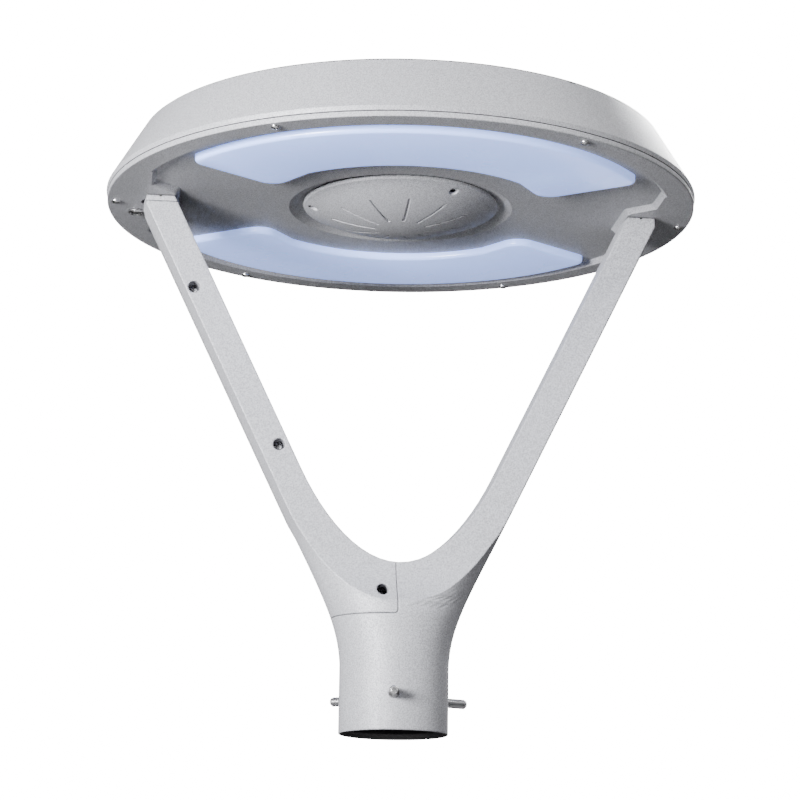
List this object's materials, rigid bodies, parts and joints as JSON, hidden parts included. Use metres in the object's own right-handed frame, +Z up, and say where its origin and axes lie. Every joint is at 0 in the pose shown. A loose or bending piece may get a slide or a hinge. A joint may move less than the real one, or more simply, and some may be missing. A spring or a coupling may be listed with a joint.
{
  "type": "solar street lamp",
  "caption": "Solar post-top street lamp: a shallow round head with crescent diffusers and a domed centre cap, carried by a V bracket with a round pole socket.",
  "frame": {"origin": "centre of the pole socket's lower end, on the lamp's vertical axis", "axes": "+Z up along the pole, -Y the front that the camera sees, the two arms at -X and +X"},
  "size_m": [0.502, 0.502, 0.5022],
  "materials": {
    "casting": "cast aluminium with a silver-grey fine-textured powder coat",
    "casting_cover": "cast aluminium with a silver-grey fine-textured powder coat",
    "casting_under": "cast aluminium with a silver-grey fine-textured powder coat",
    "casting_shell": "cast aluminium with a silver-grey fine-textured powder coat",
    "casting_cap": "cast aluminium with a silver-grey fine-textured powder coat",
    "stainless": "plain stainless",
    "set_screw": "blackened steel with bright edges",
    "zinc": "zinc plated",
    "nickel": "nickel strip",
    "rubber": "matte black",
    "glass": "clear tempered glass",
    "cells": "dark blue silicon with silver lines",
    "white_plastic": "white",
    "black_plastic": "black",
    "case_plastic": "dark blue-grey",
    "diffuser": "opal, slightly blue",
    "board_white": "white solder mask",
    "board_green": "green solder mask",
    "chips": "yellow phosphor",
    "cell_wrap": "blue shrink wrap",
    "wire_red": "red insulation",
    "wire_orange": "orange insulation",
    "wire_yellow": "yellow insulation",
    "wire_grey": "grey insulation"
  },
  "bodies": {
    "lamp": {"bracket": "casting", "arm_cover": "casting_cover", "arm_cover_screws": "stainless", "arm_gaskets": "rubber", "arm_bolts": "stainless", "arm_washers": "stainless", "lower_housing": "casting_under", "rim_screws": "stainless", "head_seal": "rubber", "upper_housing": "casting_shell", "solar_glass": "glass", "solar_cells": "cells", "solar_backsheet": "white_plastic", "glass_seal": "rubber", "junction_box": "black_plastic", "junction_lid": "black_plastic", "diffuser_front": "diffuser", "diffuser_rear": "diffuser", "diffuser_seals": "rubber", "board_frame_front": "white_plastic", "board_frame_rear": "white_plastic", "led_board_front": "board_white", "led_board_rear": "board_white", "leds_front": "chips", "leds_rear": "chips", "board_screws": "zinc", "centre_cap": "casting_cap", "cap_seal": "rubber", "cap_screws": "stainless", "battery_holder": "black_plastic", "battery_cells": "cell_wrap", "battery_links": "nickel", "battery_board": "board_green", "battery_clamps": "black_plastic", "holder_screws": "zinc", "controller_case": "case_plastic", "controller_board": "board_green", "controller_parts": "black_plastic", "controller_lid": "case_plastic", "controller_screws": "zinc", "button_bezel": "stainless", "button_nut": "zinc", "button_seal": "rubber", "panel_wires": "wire_red", "battery_wires": "wire_orange", "led_wires": "wire_yellow", "button_wires": "wire_grey"},
    "set_screw_front_body": {"set_screw_front": "set_screw"},
    "set_screw_right_body": {"set_screw_right": "set_screw"},
    "set_screw_left_body": {"set_screw_left": "set_screw"},
    "button": {"button_cap": "stainless"}
  },
  "joints": [
    {"name": "set_screw_front_feed", "type": "slide", "parent": "lamp", "child": "set_screw_front_body", "axis": [0.1045, 0.9945, 0], "range_m": [-0.003, 0.018]},
    {"name": "set_screw_right_feed", "type": "slide", "parent": "lamp", "child": "set_screw_right_body", "axis": [-0.9135, -0.4067, 0], "range_m": [-0.003, 0.023]},
    {"name": "set_screw_left_feed", "type": "slide", "parent": "lamp", "child": "set_screw_left_body", "axis": [0.809, -0.5878, 0], "range_m": [-0.003, 0.013]},
    {"name": "button_press", "type": "slide", "parent": "lamp", "child": "button", "axis": [0, 0, 1], "range_m": [0, 0.0012], "stiffness_N_per_m": 900, "springref_m": -0.0012}
  ]
}
